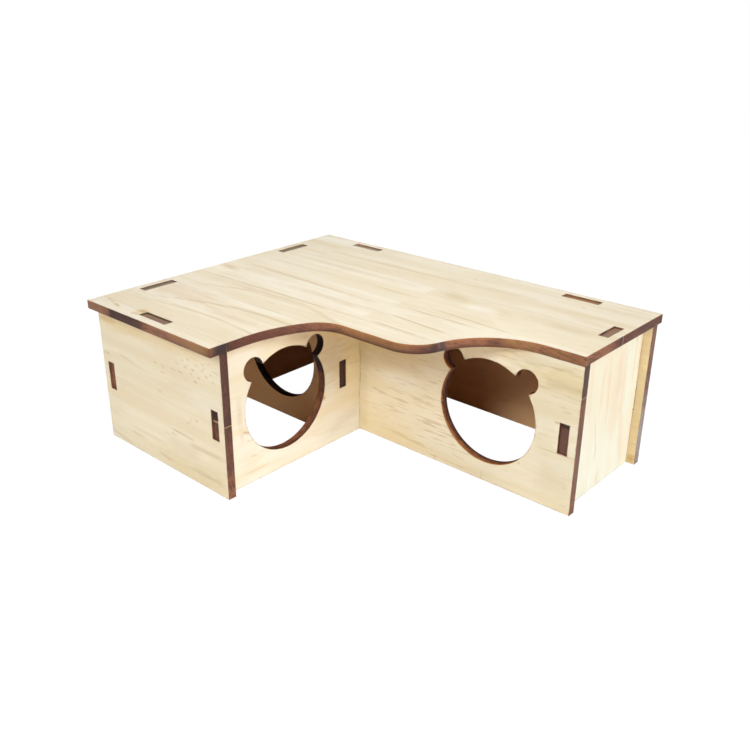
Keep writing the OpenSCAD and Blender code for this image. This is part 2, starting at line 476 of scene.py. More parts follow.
tone = burn.mix(given["Dark"], tone, DARK_CUT)
tone = burn.mix(given["Charred Above"], tone, CHARRED_CUT)
before = burn.math("MULTIPLY", burn.spread(given["Past Joint"], -6.0, -1.5),
                   burn.spread(given["Past Joint"], 2.2, 0.3))
sooty = burn.math("MULTIPLY", given["Soot"], burn.spread(blotch, 0.3, 0.6, 1.0, 0.75))
tone = burn.mix(burn.math("MULTIPLY", before, sooty), tone, SOOT)
off_line = burn.math("ABSOLUTE", burn.math("SUBTRACT", given["Past Joint"], GLUE_AT))
in_joint = burn.math("MULTIPLY", burn.spread(off_line, 0.55, 0.3), given["Glint"])
tone = burn.mix(in_joint, tone, GLUE_GLINT)

shade = burn.spread(lines, 0.25, 0.75, 0.93, 1.06)
burn.feed(result["Color"], burn.vector("MULTIPLY", tone, burn.join(shade, shade, shade)))
burn.feed(result["Lines"], lines)
print("group:", burn.tree.name, len(burn.tree.nodes), "nodes")

# %% [markdown]
# ## Where a point lies on its board
#
# A board has a pine finish on its two faces and a scorched finish on its edges.
# Both need to know where a point lies on the board. Unwrapping each board would
# say it too, but then the pattern would break at every rim. Object coordinates run
# right through the wood. They are turned here, so that the first axis follows the
# grain and the third runs through the board, and a number then means the same on
# every board, whichever way it stands.

# %% Grain direction
AXES = {"X": 0, "Y": 1, "Z": 2}
TO_MM = (1000.0, 1000.0, 1000.0)


def grain_vector(wiring, grain, through):
    """Object coordinates in millimetres as (along the grain, across it, through the board)."""
    place = wiring.add("ShaderNodeTexCoord").outputs["Object"]
    part = wiring.split(wiring.vector("MULTIPLY", place, TO_MM))
    across = next(axis for axis in "XYZ" if axis not in (grain, through))
    turned = [part[AXES[axis]] for axis in (grain, across, through)]
    return wiring.join(*turned), turned


def stave_at(wiring, turned, look):
    """The stave group, set for this board."""
    return wiring.group(staves.tree, {
        "Along": turned[0], "Across": turned[1], "First Joint": look["joint"],
        "Strip Width": look["width"], "First End": look["end"],
        "Stave Length": look["length"], "Seed": look["seed"],
    })


def carried(wiring, name):
    """One of the two attributes that the board's mesh carries."""
    return wiring.add("ShaderNodeAttribute", attribute_name=name).outputs["Fac"]


def start_finish(name, look):
    """A new material with its wiring, its shader, the point's place, its axes and its stave."""
    finish = bpy.data.materials.new(name)
    finish.use_nodes = True
    w = Wiring(finish.node_tree)
    place, turned = grain_vector(w, look["grain"], look["through"])
    shader = finish.node_tree.nodes["Principled BSDF"]
    return finish, w, shader.inputs, place, turned, stave_at(w, turned, look)


print("a board's first axis follows the grain, its third runs through the board")

# %% [markdown]
# ## Bare pine
#
# The face of a board is one pale tone with a tan figure laid over it in thin
# layers: bands, warm patches, rings, fibres and resin dashes. A colour ramp over
# one noise would be quicker, but then all of them would darken together. Each
# layer is only a part as strong as it could be, because raw pine is quiet. Then
# come the glue joints, which show as hairlines, and last the marks that have a
# place: warm patches, pale patches, streaks and resin. On some walls the warm
# patches and a few streaks are painted shade under the roof, and the pale patches
# are partly pale sapwood and partly painted light.

# %% Bare pine
GLUE_LINE = (140, 108, 76)
# Pale sapwood, and painted light where these patches whiten the most brightly lit parts of a wall.
SAP_AND_LIGHT = (252, 248, 238)
RESIN = (202, 162, 88)


def pine_tone(w, place, stave, wood, look):
    """The pine's colour, from its figure alone."""
    pale, tan, blush = (colour(*look[key]) for key in ("pale", "tan", "blush"))
    figure = look["figure"]
    tone = w.mix(w.math("MULTIPLY", wood["Bands"], figure), pale, tan)
    tone = w.mix(w.math("MULTIPLY", wood["Warmth"], look["warmth"]), tone, blush)
    tone = w.mix(w.math("MULTIPLY", wood["Rings"], figure), tone, tan)
    tone = w.mix(w.spread(wood["Fibres"], 0.45, 0.8, 0.0, 0.3), tone, tan)
    tone = w.mix(w.math("MULTIPLY", wood["Flecks"], 0.5), tone, colour(*look["dash"]))
    own = w.split(stave["Random"])
    return w.mix(w.spread(own[2], 0.0, 1.0, 0.0, 0.25), tone, tan)


def with_joints(w, tone, stave, look):
    """The tone, with a hairline at each glue joint and at each row of fingers."""
    seam = w.math("ABSOLUTE", stave["Past Joint"])
    seam = w.math("MULTIPLY", w.spread(seam, 0.3, 0.12), look["glue"])
    ends = w.math("MULTIPLY", w.spread(stave["End Distance"], 0.35, 0.1), 0.2)
    return w.mix(w.math("MAXIMUM", seam, ends), tone, colour(*GLUE_LINE))


def with_marks(w, tone, place, wood, look):
    """The tone, with the board's own marks, which the fibres break up a little."""
    grainy = w.spread(wood["Fibres"], 0.2, 0.6, 0.55, 1.0)
    # Some warm marks are painted shade under the roof, and some pale marks are painted light.
    layers = ((look["warm"], look["glow"]), (look["sap"], SAP_AND_LIGHT),
              (look["streaks"], look["ink"]), (look["resin"], RESIN))
    for rows, ink in layers:
        if rows:
            marks = w.math("MULTIPLY", soft_marks(w, place, rows), grainy)
            tone = w.mix(marks, tone, colour(*ink))
    return tone


# Among these, the warm patches include painted shade and the sapwood includes painted light.
print("marks on the pine: warm patches, sapwood, streaks and resin")

# %% [markdown]
# ## Painted inner shade and scorch on the faces
#
# The inner faces, where the house is closed, are darker and browner: this is
# painted shade for the dim inside of the house. The painted shade has to know
# which face it is on and where the inside ends, and reads that from the mesh: the
# attribute "through" runs from 0 on one face to 1 on the other. Close to every slot
# and door the beam's heat leaves a thin brown halo, which follows the attribute
# "scorch". Both could be painted by hand, but an attribute keeps to the outline by
# itself.

# %% Face finish
HALO = (176, 128, 76)
GLOSS = 0.3
FIBRE_HEIGHT = 0.12 * MM


def with_smoke(w, tone, turned, look):
    """The tone, with painted shade: browner on the side and the stretch of the board that look["inner"]
    names.
    """
    side, first, last = look["inner"]
    smoked = w.math("MULTIPLY", w.spread(turned[0], first - 1, first + 1),
                    w.spread(turned[0], last + 1, last - 1))
    if side:
        part_way = carried(w, "through")
        this_side = w.spread(part_way, 0.5 - 0.1 * side, 0.5 + 0.1 * side)
        smoked = w.math("MULTIPLY", smoked, this_side)
    inputs = {0: 1.0, 6: tone, 7: colour(*look["smoke"])}
    darkened = w.add("ShaderNodeMix", inputs, data_type="RGBA", blend_type="MULTIPLY")
    return w.mix(smoked, tone, darkened.outputs[2])


def with_halo(w, tone, place):
    """The tone, with a ragged brown halo along the cuts."""
    ragged = w.spread(w.noise(place, 0.16, 3.0), 0.45, 0.72, 0.12, 0.85)
    near_cut = w.math("POWER", carried(w, "scorch"), 3.0)
    return w.mix(w.math("MULTIPLY", near_cut, ragged), tone, colour(*HALO))


def face_finish(name, look):
    """Bare pine for the two faces of a board."""
    face, w, shader, place, turned, stave = start_finish(name + "_face", look)
    flecks = w.math("ADD", look["flecks"], soft_marks(w, place, look["flecked"]))
    wood = w.group(pine.tree, {"Grain Vector": place, "Random": stave["Random"],
                               "Ring Shift": look["ring_shift"], "Fleck Amount": flecks})
    tone = pine_tone(w, place, stave, wood, look)
    tone = with_joints(w, tone, stave, look)
    tone = with_marks(w, tone, place, wood, look)
    tone = with_smoke(w, tone, turned, look)
    w.feed(shader["Base Color"], with_halo(w, tone, place))
    w.feed(shader["Roughness"], w.spread(wood["Fibres"], 0.2, 0.8, 0.5, 0.64))
    height = w.math("SUBTRACT", wood["Fibres"], w.math("MULTIPLY", wood["Flecks"], 0.8))
    bump = {"Strength": 0.25, "Distance": FIBRE_HEIGHT, "Height": height}
    w.feed(shader["Normal"], w.add("ShaderNodeBump", bump).outputs[0])
    shader["Specular IOR Level"].default_value = GLOSS
    return face


print(f"faces: fibres stand out by {FIBRE_HEIGHT / MM:.2f} mm at most, halo {HALO}")

# %% [markdown]
# ## Scorched edges
#
# The edge's finish is the scorched cut group with the board's own places for it:
# where the cut turned golden or dark, where it is two-toned, and where the pale
# glue line shows. A material for each such stretch would need as many cuts in the
# mesh, with hard borders. Soft marks need none. On top lie a few tints for
# stretches with a tone of their own, such as the tops of the tabs.

# %% Edge finish
CUT_ROUGHNESS = 0.62
LINE_DEPTH = 0.1 * MM


def edge_finish(name, look):
    """The scorched finish for the cut edges of a board."""
    edge, w, shader, place, turned, stave = start_finish(name + "_edge", look)
    charred = w.spread(turned[1], look["joint"] - 0.1, look["joint"] + 0.4)
    two_toned = w.math("MINIMUM", soft_marks(w, place, look["two_toned"]), 1.0)
    cut = w.group(burn.tree, {
        "Cut Vector": place, "Through": carried(w, "through"),
        "Random": stave["Random"], "Past Joint": stave["Past Joint"],
        "Gold": soft_marks(w, place, look["gold"]), "Dark": soft_marks(w, place, look["dark"]),
        "Gold Side": w.math("MULTIPLY", two_toned, look["gold_side"]),
        "Charred Above": w.math("MULTIPLY", charred, look["charred"]),
        "Soot": look["soot"], "Glint": soft_marks(w, place, look["glints"]),
    })
    tone = cut["Color"]
    for ink, rows in look["tints"]:
        tone = w.mix(soft_marks(w, place, rows), tone, colour(*ink))
    w.feed(shader["Base Color"], tone)
    shader["Roughness"].default_value = CUT_ROUGHNESS
    shader["Specular IOR Level"].default_value = GLOSS
    bump = {"Strength": 0.4, "Distance": LINE_DEPTH, "Height": cut["Lines"]}
    w.feed(shader["Normal"], w.add("ShaderNodeBump", bump).outputs[0])
    return edge


print(f"edges: the beam's lines are {LINE_DEPTH / MM:.2f} mm deep, roughness {CUT_ROUGHNESS}")

# %% [markdown]
# ## Making a board from its CAD node
#
# The CAD node already has the exact outline, slots and doors, so a board starts as
# a copy of it. The copy's loose triangles are merged and joined into flat faces.
# Then the rims get the tiny rounding that sanding leaves, and each face gets a
# narrow band along its border. The band holds the attribute that fades the scorch
# out, so the brown follows every slot and door without any painting.

# %% Board shape
RIM = 0.22 * MM
BAND = 1.3 * MM
FLAT = 0.99
MERGE = 1e-6
LEVEL = math.radians(1)


def on_face(polygon, axis):
    """True for a polygon on one of the board's two faces, and False for one on its cut."""
    return abs(polygon.normal[axis]) > FLAT


def board_shape(node, axis):
    """A bmesh of the node with rounded rims and a narrow band along each face's border."""
    mesh = bmesh.new()
    mesh.from_mesh(frame["nodes"][node].data)
    bmesh.ops.remove_doubles(mesh, verts=mesh.verts, dist=MERGE)
    bmesh.ops.dissolve_limit(mesh, angle_limit=LEVEL, verts=mesh.verts, edges=mesh.edges)
    rims = [e for e in mesh.edges if len({on_face(f, axis) for f in e.link_faces}) == 2]
    bmesh.ops.bevel(mesh, geom=rims, offset=RIM, offset_type="OFFSET", segments=2, profile=0.5,
                    affect="EDGES", material=-1, clamp_overlap=True)
    mesh.normal_update()
    faces = [f for f in mesh.faces if on_face(f, axis)]
    bmesh.ops.inset_region(mesh, faces=faces, thickness=BAND, use_even_offset=True,
                           use_boundary=True)
    mesh.normal_update()
    return mesh


print(f"rims are rounded by {RIM / MM:.2f} mm, and the scorched band is {BAND / MM:.1f} mm wide")

# %% [markdown]
# ## Dressing a board
#
# The two attributes are written next, one value for each corner of the mesh, and
# the faces are told apart from the cut edges by the way they point. Only the
# curved parts of the cut are shaded smooth. The finished board takes the place of
# its CAD node, and rides on the same body: the roof lifts, and the walls stay.

# %% Board maker
SHARP = math.radians(35)


def dress(mesh, axis, low, high):
    """Gives the mesh its attributes, its two finishes and its smooth and sharp edges."""
    scorch = mesh.verts.layers.float.new("scorch")
    part_way = mesh.verts.layers.float.new("through")
    for v in mesh.verts:
        v[part_way] = (v.co[axis] - low[axis]) / (high[axis] - low[axis])
    for f in mesh.faces:
        f.smooth = not on_face(f, axis)
        f.material_index = int(f.smooth)
        if f.smooth:
            for v in f.verts:
                v[scorch] = 1.0
    for e in mesh.edges:
        kinds = {f.material_index for f in e.link_faces}
        e.smooth = kinds == {0} or (kinds == {1} and e.calc_face_angle(0) < SHARP)


def make_board(node, through, finishes):
    """A board with rounded rims and a scorch band, in the place of that CAD node."""
    axis = AXES[through]
    mesh = board_shape(node, axis)
    dress(mesh, axis, *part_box(node))
    data = bpy.data.meshes.new(node + "_board")
    mesh.to_mesh(data)
    mesh.free()
    for material in finishes:
        data.materials.append(material)
    board = in_scene(node + "_board", data)
    bodies = frame["record"]["behaviour"]["bodies"]
    body = next(name for name, members in bodies.items() if node in members)
    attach(board, body)
    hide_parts(node)
    print(f"{board.name}: {len(data.polygons)} faces, rides on {body}")


print("edges that bend by less than", round(math.degrees(SHARP)), "degrees are shaded smooth")

# %% [markdown]
# ## What the boards share
#
# Each board has its own grain direction, its own place in the sheet and its own
# mood. Eight materials could be written out in full, but the boards come from one
# kind of sheet, so what they share is written once, and a board names only what
# differs. Its numbers are judged in millimetres: where the glue joints lie, and the
# streaks, smears and browner or golden stretches of the cut that the eye would
# miss. Each mark is (along the grain, across it, half its length, half its width,
# slope, strength), and a curved one has its bend too. "inner" names the side with
# the painted inner shade, -1 or 1, or 0 for both, and the stretch along the grain
# that it covers.

# %% Shared look
SHARED = dict(
    width=80.0, end=500.0, length=1200.0, ring_shift=1 / 12, flecks=0.4, figure=0.6,
    glue=0.12, warmth=0.5, charred=0.0, soot=0.25, gold_side=0.0,
    pale=(243, 233, 211), tan=(226, 208, 168), blush=(241, 220, 186), dash=(190, 162, 116),
    # The colour of the painted shade on the inner faces is set on this line.
    ink=(202, 176, 128), glow=(244, 224, 166), smoke=(255, 216, 197),
    flecked=(), warm=(), sap=(), streaks=(), resin=(), gold=(), dark=(), glints=(), tints=(),
    two_toned=((0, 0, 900, 900, 0.0, 2.0),),
)


def add_board(node, **own):
    """Makes the board of that node, with the shared look and what is its own."""
    look = {**SHARED, **own}
    make_board(node, look["through"], (face_finish(node, look), edge_finish(node, look)))


print("a board can set:", ", ".join(SHARED))

# %% [markdown]
# ## The roof: its faces
#
# The roof is the board that shows most, and a calm one: wide strips, hardly any
# resin, and a weak figure. What the eye finds on it are a few long streaks that
# follow the grain, warm and pale places of a hand's width, and a row of resin
# marks near one corner. Another seed would give other streaks by chance, but none
# beside the slot that has one. So all of them stand in lists.

# %% Roof faces
ROOF_STREAKS = (
    (65, 24.3, 42, 1.6, -0.066, 0.6), (47, 15.9, 38, 2.2, -0.02, 0.55), (46, -2.5, 32, 1.7, -0.08, 0.75),
    (43, -18.5, 28, 1.5, -0.03, 0.8), (-70, 12.5, 84, 2.6, -0.03, 0.55), (-60, -20.5, 90, 2.2, 0.01, 0.5),
    (-60, -27, 60, 5.0, 0.0, 0.35), (-100, 35.5, 44, 1.8, 0.0, 0.35), (-5, 36.9, 24, 2.0, 0.0, 0.45),
    (-30, -3, 68, 5.0, 0.0, 0.35), (-138, -2, 14, 5.0, 0.0, 0.45), (-60, 55, 80, 5.0, 0.0, 0.25),
    (31, 57, 15, 8.5, -0.1, 0.4), (-50, -25, 100, 3.2, 0.0, 0.4, -0.0037),
    (-30, -57.5, 124, 2.6, 0.0, 0.5, -0.0027), (-60, -81.5, 92, 2.4, 0.0, 0.4, -0.0018),
    (-52, -74, 34, 6.0, 0.0, 0.35), (-50, -48, 44, 2.0, 0.02, 0.25), (-30, 83, 96, 2.2, 0.02, 0.35),
    (40, 88, 60, 4.5, -0.04, 0.25), (120, 52, 22, 7.0, 0.0, 0.25), (107, 93.5, 2.2, 1.2, -0.2, 0.55),
    (19, 96.5, 3.2, 1.2, -0.3, 0.4), (-117, 79.5, 4.4, 1.2, -0.4, 0.4),
)
ROOF_WARM = ((112, 20, 56, 46, 0.0, 0.4), (-142, -10, 20, 40, 0.0, 0.3))
ROOF_SAP = (
    (-124, 108, 50, 12, 0.0, 0.5), (-110, 36, 56, 20, 0.0, 0.3), (58, 47, 18, 9, 0.0, 0.5),
)
ROOF_RESIN = (
    (-116, -62, 54, 22, 0.0, 0.25), (124, 70, 50, 16, 0.0, 0.06), (-140, -0.9, 9, 4.0, 0.0, 0.25),
    (-140, -106, 5, 1.8, -0.2, 0.5), (-134, -107.5, 3, 1.6, 0.0, 0.6), (-126, -109.5, 5, 1.8, -0.2, 0.7),
    (-102, -105.5, 8, 4.0, 0.0, 0.8), (-102, -110.5, 6, 2.4, 0.2, 0.6),
)
print("roof faces:", len(ROOF_STREAKS), "streaks and", len(ROOF_RESIN), "resin marks")

# %% [markdown]
# ## The roof: its cut
#
# The wavy edge is the longest cut on the house, with one rim golden and the other
# charred. It's golden where the beam ran fast through a bend, dark at the front on
# the left, and black at the glue joints. The slots are cut too, and each shows its
# far wall in a brown of its own, made lighter as painted light that lifts the shade
# in the slot. The burn group could guess some of this from the bends of the
# outline, but not where the beam really waited, so the browns that stand out are
# tints with a place.

# %% Roof cut
ROOF_GOLD = (
    (-36, -117.5, 26, 3, 0.0, 0.6), (36, -38, 36, 12, 0.0, 0.55), (128, 11, 36, 10, 0.0, 0.9),
)
ROOF_DARK = (
    (-104, -117.5, 27, 20, 0.0, 0.8), (-119, -117.5, 8, 20, 0.0, 1.1), (-18, -114, 1.6, 7, 0.0, 0.6),
    (-17.5, -100, 4, 7, 0.0, 0.45), (-10.5, -67, 6, 10, 0.0, 0.55),
)
ROOF_TINTS = (
    ((104, 60, 48), ((-14, -78, 11, 44, 0.0, 0.45),)),
    ((148, 108, 84), ((-144, -117.5, 24, 6, 0.0, 0.75), (-50, -117.5, 40, 6, 0.0, 0.45))),
    ((62, 50, 47), ((-18, -108.6, 1.8, 6.5, 0.0, 1.6),)),
    ((72, 60, 62), ((76.4, -17.2, 4, 5, 0.0, 0.9),)), ((84, 60, 56), ((150, 61, 3, 4, 0.0, 0.8),)),
    ((160, 108, 82), ((150, 46, 3, 14, 0.0, 0.5),)), ((158, 118, 66), ((140, 13, 46, 8, 0.0, 0.8),)),
    ((160, 122, 82), ((-32, -117.5, 14, 6, 0.0, 0.55),)), ((94, 66, 62), ((150, 94, 3, 34, 0.0, 0.75),)),
    # The slot tints here are lighter than the cut would be: painted light against the shade in the slots.
    ((108, 86, 56), ((-85, -107.5, 22, 6, 0.0, 1.2),)),
    ((150, 128, 100), ((-97, 109, 24, 6, 0.0, 1.2), (-141, 66, 8, 24, 0.0, 1.2))),
    ((118, 100, 82), ((-141, -65, 8, 24, 0.0, 1.2),)), ((150, 110, 66), ((97, 109, 24, 6, 0.0, 1.2),)),
)
print("roof cut:", len(ROOF_TINTS), "browns with a place")

# %% [markdown]
# ## The roof board
#
# With its marks named, the board itself is short. Its strips are 84 mm wide and
# its staves 330 mm long, so that joints of both kinds show on the top. It could
# share the walls' narrower strips, but then a joint would run where the real top
# has none. The lower face gets the painted inner shade.

# %% Roof board
add_board(
    "roof_panel", grain="X", through="Z", inner=(-1, -200, 200), seed=3, joint=-105.2, width=84.4,
    end=136.0, length=330.0, flecks=0.15, figure=0.48, warmth=0.2, glue=0.3, tan=(222, 204, 164),
    pale=(242, 233, 214), glow=(252, 242, 218), gold_side=0.55, soot=0.9, ring_shift=1 / 14,
    glints=((-18, -105, 3, 3, 0.0, 0.35), (150, 63.5, 3, 3, 0.0, 0.8)),
    two_toned=((-36, -117.5, 36, 8, 0.0, 1.2), (72, -46, 104, 90, 0.0, 2.0)),
    streaks=ROOF_STREAKS, warm=ROOF_WARM, sap=ROOF_SAP, resin=ROOF_RESIN, gold=ROOF_GOLD, dark=ROOF_DARK,
    tints=ROOF_TINTS,
)

# %% [markdown]
# ## The front end wall
#
# This short wall closes the near end. A spray of resin dashes lies in its upper
# right part, each a few millimetres long, with a few more below it. The noise
# could make a cluster there too, but not this one, by which one knows the board.
# So each dash is a row in the list, and the noise only fills in between them. The
# rows with a half length over 10 mm are tan streaks.

# %% Front end wall
SPRAY = (
    (-50, 88.3, 2.6, 0.7, -0.25, 0.9), (-45.6, 82.2, 2.2, 0.8, -0.25, 1.0),
    (-53.3, 82.2, 2.0, 0.7, -0.2, 0.8), (-58.9, 77.2, 2.8, 0.7, -0.25, 0.8),
    (-43.9, 74.7, 2.2, 0.7, -0.2, 1.0), (-67.8, 76.7, 2.8, 0.6, -0.2, 0.7),
    (-77.8, 75.3, 2.4, 0.6, -0.2, 0.8), (-86.7, 75.8, 2.4, 0.6, -0.1, 0.6),
    (-79, 70.9, 3.5, 0.6, -0.15, 0.6), (-35.5, 88.8, 2.0, 0.7, -0.25, 0.8),
    (-32.2, 81.5, 1.8, 0.7, -0.3, 0.8), (-36, 84.5, 1.4, 0.6, -0.2, 0.6), (-28, 84, 1.5, 0.6, -0.3, 0.6),
    (-28.5, 91, 1.4, 0.6, -0.2, 0.5), (-84, 56.1, 4, 0.7, -0.1, 0.6), (-40, 78.5, 1.6, 0.7, -0.25, 0.9),
    (-25, 87, 1.2, 0.5, -0.3, 0.7), (-26, 79.5, 1.2, 0.6, -0.3, 0.7), (-56, 86, 2.2, 0.6, -0.2, 0.7),
    (-62, 82, 2.0, 0.6, -0.2, 0.7), (-48, 79, 1.8, 0.6, -0.25, 0.8), (-42, 86.5, 1.5, 0.5, -0.2, 0.8),
    (-50.5, 84.5, 1.3, 0.5, -0.3, 0.7), (-34, 86.5, 1.4, 0.5, -0.15, 0.7),
    (-116, 68, 20, 1.0, -0.14, 0.4), (-46, 46.7, 2.0, 0.7, 0.2, 0.9), (-55, 42.5, 3, 0.7, 0.25, 0.6),
    (-52, 45.6, 1.6, 0.6, 0.1, 0.6), (-63, 31.4, 16, 1.2, 0.0, 0.6), (-40, 27, 26, 3.0, 0.05, 0.45),
    (-38, 9, 30, 4.0, 0.03, 0.5), (-72, 28.5, 5, 1.0, 0.0, 0.5), (-138, 3.5, 18, 2.0, -0.1, 0.4),
    (-116, 12.5, 12, 1.4, -0.05, 0.45), (-84, 6.5, 9, 1.4, -0.1, 0.6), (-104, 17, 30, 2.0, 0.0, 0.25),
    (-44, 12, 60, 16, 0.0, 0.15), (-62, 20, 28, 10, 0.0, 0.25),
)
add_board(
    "front_end_wall", grain="X", through="Y", inner=(1, -138, -30), seed=11, joint=51.0, flecks=0.2,
    figure=0.45, pale=(252, 242, 217), tan=(232, 213, 172), blush=(246, 226, 190), glow=(234, 210, 158),
    charred=0.5,
    # The two warm bands along the top are painted shade under the roof's edge.
    warm=(
        (-120, 92, 46, 7, 0.0, 0.75), (-72, 92, 50, 6, 0.0, 0.6), (-50, 6, 60, 12, 0.0, 0.4),
    ),
    sap=((-36, 62, 26, 13, 0.0, 0.35),),
    resin=((-145, 66.9, 5, 2.0, 0.0, 0.35), (-140, 93, 12, 4, 0.0, 0.3)),
    dark=((-18, 50, 12, 90, 0.0, 0.35),),
    tints=(((140, 110, 88), ((-85, 105, 40, 4, 0.0, 1.0),)),),
    glints=((-18, 51, 3, 4, 0.0, 0.5),),
    flecked=(
        (-50, 80, 30, 18, -0.15, 0.9), (-45, 25, 34, 18, 0.0, 0.4), (-110, 68, 30, 8, -0.15, 0.4),
    ),
    streaks=SPRAY,
)

# %% [markdown]
# ## The left side wall
#
# Only the tabs of this long wall show in the roof's slots, and its inner face
# through the doors. It would look right with nothing but the shared pine. It gets
# the painted inner shade on its inner side, and a pale tint on the tops of its
# tabs, partly their own tone and partly painted light against the shade in the
# slots.

# %% Left side wall
add_board(
    "left_side_wall", grain="Y", through="X", inner=(1, -104, 106), seed=21, joint=30.0,
    smoke=(255, 222, 214),
    # Partly painted light: the tab tops are lightened against the slots' shade.
    tints=(((138, 120, 98), ((0, 105, 300, 4, 0.0, 1.0),)),),
)

# %% [markdown]
# ## The porch door wall
#
# This wall stands on the porch's left side, with one of the two bear-shaped doors.
# Its wood turns from nearly white at the near end to a warm gold under the roof.
# Both are partly painted: the pale patches at the near end and low by the corner
# are painted light, and the two large warm marks under the roof, with a few wide
# streaks along its top, are painted shade. Smears of resin lie on both sides of
# the door's lower part, and the upper strip's cut is charred.

# %% Porch door wall
add_board(
    "porch_door_wall", grain="Y", through="X", inner=(-1, -104, 200), seed=31, joint=56.3, flecks=0.1,
    pale=(247, 241, 226), tan=(236, 217, 178), blush=(247, 230, 198), glow=(240, 213, 138),
    gold_side=-0.6, charred=0.9,
    # The wide streaks along the top, under the roof's edge, are painted shade.
    streaks=(
        (1.2, 67.8, 20, 1.5, 0.05, 0.4), (14, 55, 8, 0.8, 0.0, 0.5), (0.6, 13, 24, 9.0, 0.25, 0.3),
        (-80, 7.8, 12, 1.2, 0.0, 0.35), (-85, 31, 6, 1.2, 0.0, 0.35), (-83, 19, 4, 1.4, -0.2, 0.35),
        (-93, 52, 3, 14, 0.0, 0.3), (-14, 60, 26, 26, 0.0, 0.5), (-42, 89, 14, 7, 0.0, 0.4),
        (-66, 97, 10, 4, 0.0, 0.25), (6, 90, 16, 12, 0.0, 0.2),
    ),
    # Painted shade: the warm gold under the roof.
    warm=((8, 104, 50, 48, 0.0, 1.0), (14, 60, 26, 50, 0.0, 0.6)),
    # Painted light: the whiter near end and the foot of the corner.
    sap=(
        (-88, 88, 22, 14, 0.0, 0.4), (-90, 28, 22, 14, 0.0, 0.5), (-86, 3, 28, 5, 0.0, 0.4),
        (2, 14, 26, 16, 0.0, 0.4),
    ),
    resin=(
        (-88.3, 37.8, 4.5, 1.8, -0.4, 0.7), (-17.6, 37.8, 2.0, 2.2, 0.0, 0.9),
        (-92, 36, 2.0, 8, 0.0, 0.2),
    ),
    tints=(
        ((36, 22, 24), ((-20, 80, 14, 24, 0.0, 1.2),)), ((54, 34, 32), ((-111, 62, 4, 12, 0.0, 2.0),)),
        ((200, 160, 120), ((-111, 52.4, 4, 0.8, 0.0, 1.0),)),
    ),
    two_toned=((-52.5, 50, 60, 70, 0.0, 2.0),),
)

# %% [markdown]
# ## The inner partition
#
# The partition stands inside and shows through the porch's side door only. It has
# the painted inner shade on both faces, so "inner" gives side 0. The cut of its own
# door is nearly black there, in shadow. Lamps that are bright enough for the
# outside reach it too, so part of that shadow is painted into the cut, as a
# near-black tint.

# %% Inner partition
add_board(
    "inner_partition", grain="X", through="Y", inner=(0, -200, 200), seed=41, joint=35.0,
    smoke=(255, 234, 204), pale=(253, 242, 214), tan=(242, 224, 186), blush=(249, 231, 198),
    dark=((-24, 50, 12, 60, 0.0, 1.2),),
    # Painted shade: the near-black cut of its own door.
    tints=(((26, 15, 20), ((-84, 50, 60, 60, 0.0, 2.0),)),),
)

# %% [markdown]
# ## The front door wall
#
# The long wall at the back of the porch has the other bear-shaped door. It comes
# from a resinous plank: small dashes all over it, thickest on the left and in the
# upper right. Here the noise is right, because no single dash stands out, and
# "flecked" only says where it gives more. The short upright marks among the
# streaks are small knots and scratches.

# %% Front door wall
add_board(
    "front_door_wall", grain="X", through="Y", inner=(1, -200, 138), seed=51, joint=79.0, flecks=0.5,
    figure=0.55, pale=(246, 236, 211), tan=(230, 212, 168), blush=(243, 225, 188), dash=(194, 162, 110),
    glow=(232, 208, 150), gold_side=-1.0, charred=0.5,
    streaks=(
        (12, 62, 36, 6.0, 0.0, 0.3), (139, 84, 18, 5.5, 0.0, 0.4), (20, 8, 30, 1.6, -0.08, 0.4),
        (136.6, 39.3, 16, 0.7, 0.0, 0.6), (138, 20, 18, 20, 0.0, 0.25), (46, 2, 1.2, 4, 0.0, 0.4),
        (84.6, 3, 1.2, 5, 0.0, 0.35), (145, 18, 1.2, 1.2, 0.0, 0.7), (112, 23, 1.2, 1.2, 0.0, 0.6),
        (-10, 86, 28, 14, 0.0, 0.15), (124, 95, 34, 6, 0.0, 0.2), (-21, 30, 7, 60, 0.0, 0.2),
    ),
    # The warm patch at the upper left and those along the top are painted shade under the roof.
    warm=(
        (-2, 4, 50, 30, 0.0, 0.5), (-12, 82, 54, 40, 0.0, 0.9), (60, 97, 70, 12, 0.0, 0.7),
        (138, 89, 50, 11, 0.0, 0.6),
    ),
    # The pale patch on the left is painted light.
    sap=((12, 50, 22, 11, 0.0, 0.35),),
    resin=((136, 59.5, 2.6, 1.0, 0.0, 0.8),),
    tints=(
        ((136, 106, 94), ((150, 36, 3, 54, 0.0, 0.4),)), ((86, 66, 62), ((150, 92, 3, 15, 0.0, 0.75),)),
        ((146, 108, 88), ((-35, 76, 5, 16, 0.0, 0.6),)),
    ),
    glints=((150, 79, 4, 4, 0.0, 0.5),),
    two_toned=((85.5, 50, 52, 90, 0.0, 2.0), (150, 38, 6, 60, 0.0, 0.5)),
    flecked=(
        (6, 45, 120, 120, 0.0, 0.55), (0, 50, 40, 60, 0.0, 0.85), (124, 84, 60, 40, 0.0, 0.9),
        (70, 6, 40, 14, 0.0, 0.5),
    ),
)

# %% [markdown]
# ## The right end wall
#
# This wall closes the right end, and is the only one that stands with its grain
# upright. It was cut from the palest plank, a little green beside the others, with
# broad upright streaks. It could have a finish of its own, but turning the grain
# is one letter, grain="Z", because the finish turns its coordinates to the board.

